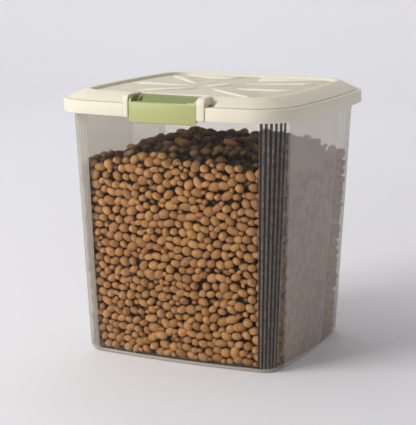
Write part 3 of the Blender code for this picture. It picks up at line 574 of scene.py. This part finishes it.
# %% How far a point is from the tub's inner wall
def wall_room(points):
    """Distance to the inner wall and the direction away from it, for many points at once."""
    share = points[:, 2] / HEIGHT
    shrink = TAPER * (1 - share) + WALL
    half_width = HALF_WIDTH - shrink
    half_depth = HALF_DEPTH - shrink
    corner = CORNER_FOOT + (CORNER_TOP - CORNER_FOOT) * share - WALL
    signs = np.where(points[:, :2] < 0, -1.0, 1.0)
    x, y = np.abs(points[:, 0]), np.abs(points[:, 1])
    side = (half_depth**2 + BOW**2) / (2 * BOW)
    end = (half_width**2 + BOW**2) / (2 * BOW)
    side_x = half_width - side
    end_y = half_depth - end
    gap = np.hypot(side_x, end_y)
    reach = side - corner
    along = (gap**2 + reach**2 - (end - corner) ** 2) / (2 * gap)
    aside = np.sqrt(reach**2 - along**2)
    way_x, way_y = -side_x / gap, end_y / gap
    middle_x = side_x + way_x * along - way_y * aside
    middle_y = way_y * along + way_x * aside
    options = []
    for centre_x, centre_y, radius in ((side_x, 0 * x, side), (0 * x, end_y, end)):
        dx, dy = x - centre_x, y - centre_y
        far = np.hypot(dx, dy)
        options.append((radius - far, -dx / far, -dy / far))
    dx, dy = x - middle_x, y - middle_y
    far = np.maximum(np.hypot(dx, dy), 1e-6)
    angle = np.arctan2(dy, dx)
    first = np.arctan2(middle_y, middle_x - side_x)
    last = np.arctan2(middle_y - end_y, middle_x)
    in_corner = (angle > first) & (angle < last) & (dx > 0) & (dy > 0)
    use_end = options[1][0] < options[0][0]
    room = np.where(use_end, options[1][0], options[0][0])
    way = np.stack([np.where(use_end, options[1][i], options[0][i]) for i in (1, 2)], axis=1)
    room = np.where(in_corner, corner - far, room)
    way = np.where(in_corner[:, None], np.stack([-dx / far, -dy / far], axis=1), way)
    return room, way * signs


# %% The food's surface
FOOD_LEVEL = 0.2190
MOUND = 22 * MM
MOUND_REACH = 38 * MM
RIPPLE = 2.5 * MM
LEFT_DROP = 12 * MM
RIGHT_DROP = 9 * MM


def heap_height(points):
    """The food's surface: a low mound in the middle, falling off towards the left and the right."""
    room = wall_room(points)[0]
    mound = 1.0 - np.exp(-np.clip(room, 0.0, 1.0) / MOUND_REACH)
    ripple = np.sin(points[:, 0] * 71.0 + 1.3) * np.sin(points[:, 1] * 63.0 + 0.4)
    left = np.clip((-0.055 - points[:, 0]) / 0.06, 0.0, 1.0)
    right = np.clip((points[:, 0] - 0.075) / 0.035, 0.0, 1.0)
    raised = FOOD_LEVEL + MOUND * mound + RIPPLE * ripple * mound
    return raised - LEFT_DROP * left - RIGHT_DROP * right


# %% A loose grid of pellets in the skin
FOOD_FLOOR = 5.3 * MM
SKIN = 21 * MM
SPACING = 9.2 * MM
chance = np.random.default_rng(41)


def starting_places():
    counts = [int(size / SPACING) for size in (2 * HALF_WIDTH, 2 * HALF_DEPTH, 0.27)]
    grid = np.stack(np.meshgrid(*[np.arange(count) for count in counts], indexing="ij"), axis=-1)
    grid = grid.reshape(-1, 3).astype(float)
    grid[:, 0] += 0.5 * (grid[:, 2] % 2)
    grid[:, 1] += 0.5 * (grid[:, 2] % 2)
    points = grid * SPACING - np.array([HALF_WIDTH, HALF_DEPTH, -FOOD_FLOOR - 5 * MM])
    points += chance.uniform(-0.3, 0.3, points.shape) * SPACING
    points = points[(np.abs(points[:, 0]) < HALF_WIDTH) & (np.abs(points[:, 1]) < HALF_DEPTH)]
    room = wall_room(points)[0]
    depth = heap_height(points) - points[:, 2]
    low = points[:, 2] - FOOD_FLOOR
    inside = (room > 4 * MM) & (depth > 3 * MM) & (low > 4 * MM)
    skin = (room < SKIN) | (depth < SKIN) | (low < 12 * MM)
    return points[inside & skin]


places = starting_places()
radii = chance.normal(5.35 * MM, 0.7 * MM, len(places)).clip(3.2 * MM, 6.6 * MM)
small = chance.random(len(places)) < 0.10
radii[small] *= 0.60
print("pellets:", len(places))


# %% Let them settle
def settle_pellets(points, radii, rounds=9, pushes=9):
    """Rounds of pushing: neighbours part, the outer ones drift to the wall, and all sink a little."""
    neighbours = 18
    for turn in range(rounds):
        tree = KDTree(len(points))
        for number, point in enumerate(points):
            tree.insert(point, number)
        tree.balance()
        found = [tree.find_n(point, neighbours + 1)[1:] for point in points]
        near = np.array([[hit[1] for hit in hits] for hits in found])
        touch = radii[:, None] + radii[near]
        for _ in range(pushes):
            away = points[:, None, :] - points[near]
            far = np.maximum(np.linalg.norm(away, axis=2), 1e-6)
            overlap = np.clip(touch * 0.95 - far, 0.0, None)
            points = points + (away / far[:, :, None] * (overlap * 0.28)[:, :, None]).sum(axis=1)
            room, way = wall_room(points)
            pull = np.where(room < SKIN, 0.14 * MM, 0.0) * (turn < rounds - 1)
            points[:, :2] -= way * pull[:, None]
            points[:, 2] -= 0.05 * MM
            room, way = wall_room(points)
            short = np.clip(radii + 0.5 * MM - room, 0.0, None)
            points[:, :2] += way * short[:, None]
            points[:, 2] = np.maximum(points[:, 2], FOOD_FLOOR + 0.76 * radii)
            points[:, 2] = np.minimum(points[:, 2], heap_height(points) - 0.2 * radii)
    return points


places = settle_pellets(places, radii)


def fill_gaps(points, radii, radius, tries, squeeze):
    """Adds smaller pellets wherever one fits between the others at a wall, the floor or the top."""
    tree = KDTree(len(points))
    for number, point in enumerate(points):
        tree.insert(point, number)
    tree.balance()
    lows = np.array([-HALF_WIDTH, -HALF_DEPTH, FOOD_FLOOR])
    spots = chance.uniform(lows, [HALF_WIDTH, HALF_DEPTH, 0.25], (tries, 3))
    spots[:, 2] = np.where(chance.random(tries) < 0.06, FOOD_FLOOR + radius, spots[:, 2])
    room, way = wall_room(spots)
    reach = radius + 0.4 * MM + np.abs(chance.normal(0, 1.2 * MM, tries))
    spots[:, :2] += way * (reach - room)[:, None]
    roof = heap_height(spots) - 0.2 * radius
    spots = spots[(spots[:, 2] < roof) & (spots[:, 2] >= FOOD_FLOOR + radius)]
    kept = []
    for spot in spots:
        hits = tree.find_range(spot, radius + 7 * MM)
        if any(far < squeeze * (radius + radii[number]) for _, number, far in hits):
            continue
        if any(np.sum((spot - other) ** 2) < (2 * squeeze * radius) ** 2 for other in kept):
            continue
        kept.append(spot)
    print(f"{len(kept)} pellets of radius {radius:.4f}")
    added = np.array(kept).reshape(-1, 3)
    return np.vstack([points, added]), np.append(radii, np.full(len(added), radius))


TRIES = 9000
for radius, squeeze in ((4.6 * MM, 0.80), (3.6 * MM, 0.82), (2.7 * MM, 0.84)):
    places, radii = fill_gaps(places, radii, radius, TRIES, squeeze)
print(f"{len(places)} settled from {places[:, 2].min():.4f} to {places[:, 2].max():.4f}")

# %% [markdown]
# ## One pellet, many times
#
# A pellet is a puffed, slightly flattened lump. Geometry Nodes make four lumps from a sphere of 80
# faces and a noise, and set one of them on every settled point with its own size and turn. Each
# also gets a random shade, which the material reads, so that no two neighbours are baked alike.
# The seed is fixed, so every run gives the same heap.


# %% The pellet tree
def pellet_tree(finish):
    tree = bpy.data.node_groups.new("scatter_pellets", "GeometryNodeTree")
    for name, kind in (
        ("Geometry", "NodeSocketGeometry"),
        ("Lumpiness", "NodeSocketFloat"),
        ("Seed", "NodeSocketInt"),
    ):
        tree.interface.new_socket(name, in_out="INPUT", socket_type=kind)
    tree.interface.new_socket("Geometry", in_out="OUTPUT", socket_type="NodeSocketGeometry")

    def add(kind, settings=None, values=None):
        node = tree.nodes.new(kind)
        for key, value in (settings or {}).items():
            setattr(node, key, value)
        for key, value in (values or {}).items():
            if isinstance(value, bpy.types.NodeSocket):
                tree.links.new(value, node.inputs[key])
            else:
                node.inputs[key].default_value = value
        return node

    given = add("NodeGroupInput")
    lumps = add("GeometryNodeJoinGeometry")
    for kind in range(4):
        ball = add("GeometryNodeMeshIcoSphere", None, {"Radius": 1.0, "Subdivisions": 2})
        values = {"W": 3.7 * kind, "Scale": 0.9, "Detail": 1.0}
        noise = add("ShaderNodeTexNoise", {"noise_dimensions": "4D"}, values)
        centred = add("ShaderNodeMath", {"operation": "SUBTRACT"}, {0: noise.outputs[0], 1: 0.5})
        values = {0: centred.outputs[0], 1: given.outputs["Lumpiness"]}
        swell = add("ShaderNodeMath", {"operation": "MULTIPLY"}, values)
        normal = add("GeometryNodeInputNormal")
        values = {0: normal.outputs[0], "Scale": swell.outputs[0]}
        push = add("ShaderNodeVectorMath", {"operation": "SCALE"}, values)
        values = {"Geometry": ball.outputs[0], "Offset": push.outputs[0]}
        lump = add("GeometryNodeSetPosition", None, values)
        held = add("GeometryNodeGeometryToInstance", None, {0: lump.outputs[0]})
        tree.links.new(held.outputs[0], lumps.inputs[0])
    size = add("GeometryNodeInputNamedAttribute", {"data_type": "FLOAT_VECTOR"}, {"Name": "size"})
    turn = add("GeometryNodeInputNamedAttribute", {"data_type": "FLOAT_VECTOR"}, {"Name": "turn"})
    turned = add("FunctionNodeEulerToRotation", None, {0: turn.outputs[0]})
    values = {"Min": 0, "Max": 3, "Seed": given.outputs["Seed"]}
    choice = add("FunctionNodeRandomValue", {"data_type": "INT"}, values)
    pick = [socket for socket in choice.outputs if socket.type == "INT"][0]
    spread = add(
        "GeometryNodeInstanceOnPoints",
        None,
        {
            "Points": given.outputs["Geometry"],
            "Instance": lumps.outputs[0],
            "Pick Instance": True,
            "Instance Index": pick,
            "Rotation": turned.outputs[0],
            "Scale": size.outputs[0],
        },
    )
    baked = add("FunctionNodeRandomValue", {"data_type": "FLOAT"}, {"Seed": 7})
    shade = add(
        "GeometryNodeStoreNamedAttribute",
        {"data_type": "FLOAT", "domain": "INSTANCE"},
        {"Geometry": spread.outputs[0], "Name": "shade", "Value": baked.outputs[1]},
    )
    real = add("GeometryNodeRealizeInstances", None, {0: shade.outputs[0]})
    smooth = add("GeometryNodeSetShadeSmooth", None, {"Geometry": real.outputs[0]})
    values = {"Geometry": smooth.outputs[0], "Material": finish}
    dressed = add("GeometryNodeSetMaterial", None, values)
    result = add("NodeGroupOutput")
    tree.links.new(dressed.outputs[0], result.inputs[0])
    return tree


# %% [markdown]
# Baked food is a warm brown with dark pores. The shade from the tree moves each pellet between a
# light and a dark bake, a noise adds blotches, and a finer one makes the crumbly skin. Little
# light gets between packed pellets, so their colour also darkens with depth and beside the walls.


# %% The baked skin
def baked_skin():
    recipe = Recipe("baked_food")
    place = recipe.place()
    shade = recipe.node("ShaderNodeAttribute", {"attribute_name": "shade"}, out=2)
    blotch = recipe.noise(place, 260.0, 3.0)
    crumb = recipe.noise(place, 1300.0, 3.0, 0.6)
    light = recipe.mix(blotch, (0.66, 0.32, 0.105), (0.93, 0.54, 0.215))
    deep = recipe.mix(blotch, (0.40, 0.175, 0.055), (0.66, 0.34, 0.125))
    colour = recipe.mix(shade, deep, light)
    pores = recipe.ramp(crumb, 0.36, 0.52)
    colour = recipe.mix(pores, recipe.mix(0.62, colour, (0.10, 0.045, 0.018)), colour)
    buried = recipe.node("ShaderNodeAttribute", {"attribute_name": "buried"}, out=2)
    gloom = recipe.ramp(buried, 3.0 * MM, 8.4 * MM)
    x, y = recipe.axes(place)[:2]
    at_corner = recipe.ramp(abs(y), 70 * MM, 78 * MM)
    beside = recipe.ramp(abs(x), SIDE_WALL, SIDE_WALL + 5 * MM) * (0.40 + 0.60 * at_corner)
    colour = recipe.mix(gloom * 0.95, colour, (0.022, 0.009, 0.003))
    colour = recipe.mix(beside * 0.66, colour, (0.030, 0.020, 0.012))
    skin = recipe.bump(crumb + blotch * 1.5, 0.6, 0.6 * MM)
    values = {"Base Color": colour, "Roughness": 0.58 - 0.12 * blotch, "Normal": skin}
    return recipe.done(recipe.plastic(values))


FOOD = baked_skin()


# %% Scatter them, one object for each part of the skin
def scatter(name, chosen):
    """Settled points become pellets: a size and a turn on each, the tree, then their depth."""
    count = len(chosen)
    mesh = bpy.data.meshes.new(name)
    mesh.from_pydata([tuple(point) for point in places[chosen]], [], [])
    size = mesh.attributes.new("size", "FLOAT_VECTOR", "POINT")
    turn = mesh.attributes.new("turn", "FLOAT_VECTOR", "POINT")
    stretch = chance.uniform([1.08, 0.88, 0.72], [1.42, 1.02, 0.92], (count, 3))
    shapes = stretch * radii[chosen][:, None]
    size.data.foreach_set("vector", shapes.astype(np.float32).ravel())
    leans = chance.normal(0.0, 0.38, (count, 3))
    leans[:, 2] = chance.uniform(0, math.tau, count)
    turn.data.foreach_set("vector", leans.astype(np.float32).ravel())
    piece = bpy.data.objects.new(name, mesh)
    bpy.context.scene.collection.objects.link(piece)
    step = piece.modifiers.new("pellets", "NODES")
    step.node_group = TREE
    inputs = [item for item in TREE.interface.items_tree if item.in_out == "INPUT"]
    names = {item.name: item.identifier for item in inputs}
    step[names["Lumpiness"]] = 0.42
    step[names["Seed"]] = 5
    settle(piece, FOOD, "tub", smooth_angle=180)
    points = np.empty(3 * len(piece.data.vertices), np.float32)
    piece.data.vertices.foreach_get("co", points)
    points = points.reshape(-1, 3).astype(float)
    depth = heap_height(points) - points[:, 2]
    cover = np.minimum(wall_room(points)[0], 0.6 * depth + 4 * MM)
    buried = piece.data.attributes.new("buried", "FLOAT", "POINT")
    buried.data.foreach_set("value", cover.astype(np.float32))


TREE = pellet_tree(FOOD)
rooms = wall_room(places)[0]
depths = heap_height(places) - places[:, 2]
on_top = (depths < SKIN) & (rooms > 12 * MM)
in_front = ~on_top & (places[:, 1] < 0)
for name, chosen in (
    ("food_heap", on_top),
    ("food_front_right", in_front & (places[:, 0] > 0)),
    ("food_front_left", in_front & (places[:, 0] <= 0)),
    ("food_back_right", ~on_top & ~in_front & (places[:, 0] > 0)),
    ("food_back_left", ~on_top & ~in_front & (places[:, 0] <= 0)),
):
    scatter(name, np.flatnonzero(chosen))


# %% The dark core behind the pellets
CORE_SHOULDER = 0.195


def make_core():
    recipe = Recipe("deep_food_shadow")
    grain = recipe.noise(recipe.place(), 220.0, 3.0)
    colour = recipe.mix(grain, (0.016, 0.008, 0.004), (0.060, 0.030, 0.014))
    skin = recipe.bump(grain, 0.8, 2 * MM)
    finish = recipe.done(recipe.plastic({"Base Color": colour, "Roughness": 0.9, "Normal": skin}))
    margin = 12 * MM
    shape = bmesh.new()
    rings = []
    levels = [(z, margin + WALL) for z in np.linspace(FOOD_FLOOR + 9 * MM, CORE_SHOULDER, 12)]
    insets = (8 * MM, 20 * MM, 36 * MM, 56 * MM, 78 * MM)
    levels += [(None, margin + WALL + inset) for inset in insets]
    for z, inset in levels:
        level = CORE_SHOULDER if z is None else z
        half_width, half_depth, corner = tub_size(level, inset)
        ring = []
        for step in range(72):
            a = math.tau * step / 72
            c, s = math.cos(a), math.sin(a)
            reach = (abs(c / half_width) ** 5 + abs(s / half_depth) ** 5) ** -0.2
            point = np.array([[reach * c * 0.985, reach * s * 0.985, level]])
            if z is None:
                point[0, 2] = heap_height(point)[0] - 12 * MM
            ring.append(shape.verts.new(point[0]))
        rings.append(ring)
    for low, high in zip(rings, rings[1:]):
        for i in range(len(low)):
            j = (i + 1) % len(low)
            shape.faces.new((low[i], low[j], high[j], high[i]))
    shape.faces.new(list(reversed(rings[0])))
    shape.faces.new(rings[-1])
    bmesh.ops.recalc_face_normals(shape, faces=shape.faces)
    mesh = bpy.data.meshes.new("food_core")
    shape.to_mesh(mesh)
    shape.free()
    core = bpy.data.objects.new("food_core", mesh)
    bpy.context.scene.collection.objects.link(core)
    settle(core, finish, "tub")


make_core()

# %% [markdown]
# ## The studio
#
# A bowl-shaped floor, flat under the bin and curving up all round, gives a seamless pale
# background from every side. A large soft lamp at the front left is the key light, a weak one
# above on the left lights the lid, and a third brightens the floor's far curve.


# %% A floor that curves up all round
def make_floor():
    recipe = Recipe("pale_studio_floor")
    cloud = recipe.noise(recipe.place(), 3.0, 2.0)
    colour = recipe.mix(cloud, (0.905, 0.905, 0.945), (0.925, 0.925, 0.965))
    values = {"Base Color": colour, "Roughness": 0.75, "Specular IOR Level": 0.2}
    finish = recipe.done(recipe.plastic(values))
    flat = 2.6
    bend = 0.9
    profile = [(1.2, 0.0), (flat, 0.0)]
    for a in np.linspace(0.1, math.pi / 2, 10):
        profile.append((flat + bend * math.sin(a), bend - bend * math.cos(a)))
    profile.append((flat + bend, 3.4))
    sectors = 96
    turns = [math.tau * step / sectors for step in range(sectors)]
    shape = bmesh.new()
    centre = shape.verts.new((0.0, 0.0, 0.0))
    rings = []
    for radius, z in profile:
        ring = [(radius * math.cos(a), radius * math.sin(a), z) for a in turns]
        rings.append([shape.verts.new(point) for point in ring])
    for i in range(sectors):
        j = (i + 1) % sectors
        shape.faces.new((centre, rings[0][i], rings[0][j]))
        for low, high in zip(rings, rings[1:]):
            shape.faces.new((low[i], high[i], high[j], low[j]))
    mesh = bpy.data.meshes.new("studio_floor")
    shape.to_mesh(mesh)
    shape.free()
    floor = bpy.data.objects.new("studio_floor", mesh)
    bpy.context.scene.collection.objects.link(floor)
    mesh.materials.append(finish)
    for face in mesh.polygons:
        face.use_smooth = True


make_floor()


# %% Soft lamps
def soft_lamp(name, place, aim, size, power, colour=(1.0, 1.0, 1.0)):
    light = bpy.data.lights.new(name, "AREA")
    light.shape = "RECTANGLE"
    light.size, light.size_y = size
    light.energy = power
    light.color = colour
    lamp = bpy.data.objects.new(name, light)
    bpy.context.scene.collection.objects.link(lamp)
    lamp.location = place
    lamp.rotation_euler = (Vector(place) - Vector(aim)).to_track_quat("Z", "Y").to_euler()


MIDDLE = (0.0, 0.0, 0.15)
soft_lamp("key_lamp", (-1.30, -1.60, 1.25), MIDDLE, (1.3, 1.3), 37.0, (1.0, 0.985, 0.95))
soft_lamp("top_lamp", (-1.0, -0.3, 2.2), MIDDLE, (1.4, 1.4), 7.0)
soft_lamp("backdrop_lamp", (-0.8, 1.2, 2.6), (-1.2, 3.2, 0.9), (1.6, 1.0), 24.0)

world = bpy.data.worlds.new("studio_air")
bpy.context.scene.world = world
world.use_nodes = True
world.node_tree.nodes["Background"].inputs["Color"].default_value = (1.0, 0.96, 0.88, 1.0)
world.node_tree.nodes["Background"].inputs["Strength"].default_value = 0.24
bpy.context.scene.view_settings.view_transform = "Standard"

# %% [markdown]
# ## The camera
#
# A long lens at about a metre and a half flattens the bin as a product photographer would, a
# little to its right and slightly above.


# %% Camera
def set_camera(azimuth, elevation, distance, aim, lens):
    a, e = math.radians(azimuth), math.radians(elevation)
    back = Vector((math.sin(a) * math.cos(e), -math.cos(a) * math.cos(e), math.sin(e)))
    right = Vector((math.cos(a), math.sin(a), 0.0))
    up = back.cross(right)
    data = bpy.data.cameras.new("studio_camera")
    data.sensor_fit = "HORIZONTAL"
    data.sensor_width = 36.0
    data.lens = lens
    camera = bpy.data.objects.new("studio_camera", data)
    bpy.context.scene.collection.objects.link(camera)
    facing = Matrix((right, up, back)).transposed().to_4x4()
    camera.matrix_world = Matrix.Translation(aim + back * distance) @ facing
    bpy.context.scene.camera = camera


set_camera(25.288, 11.079, 1.5985, Vector((-0.0083, -0.0039, 0.1476)), 122.31)
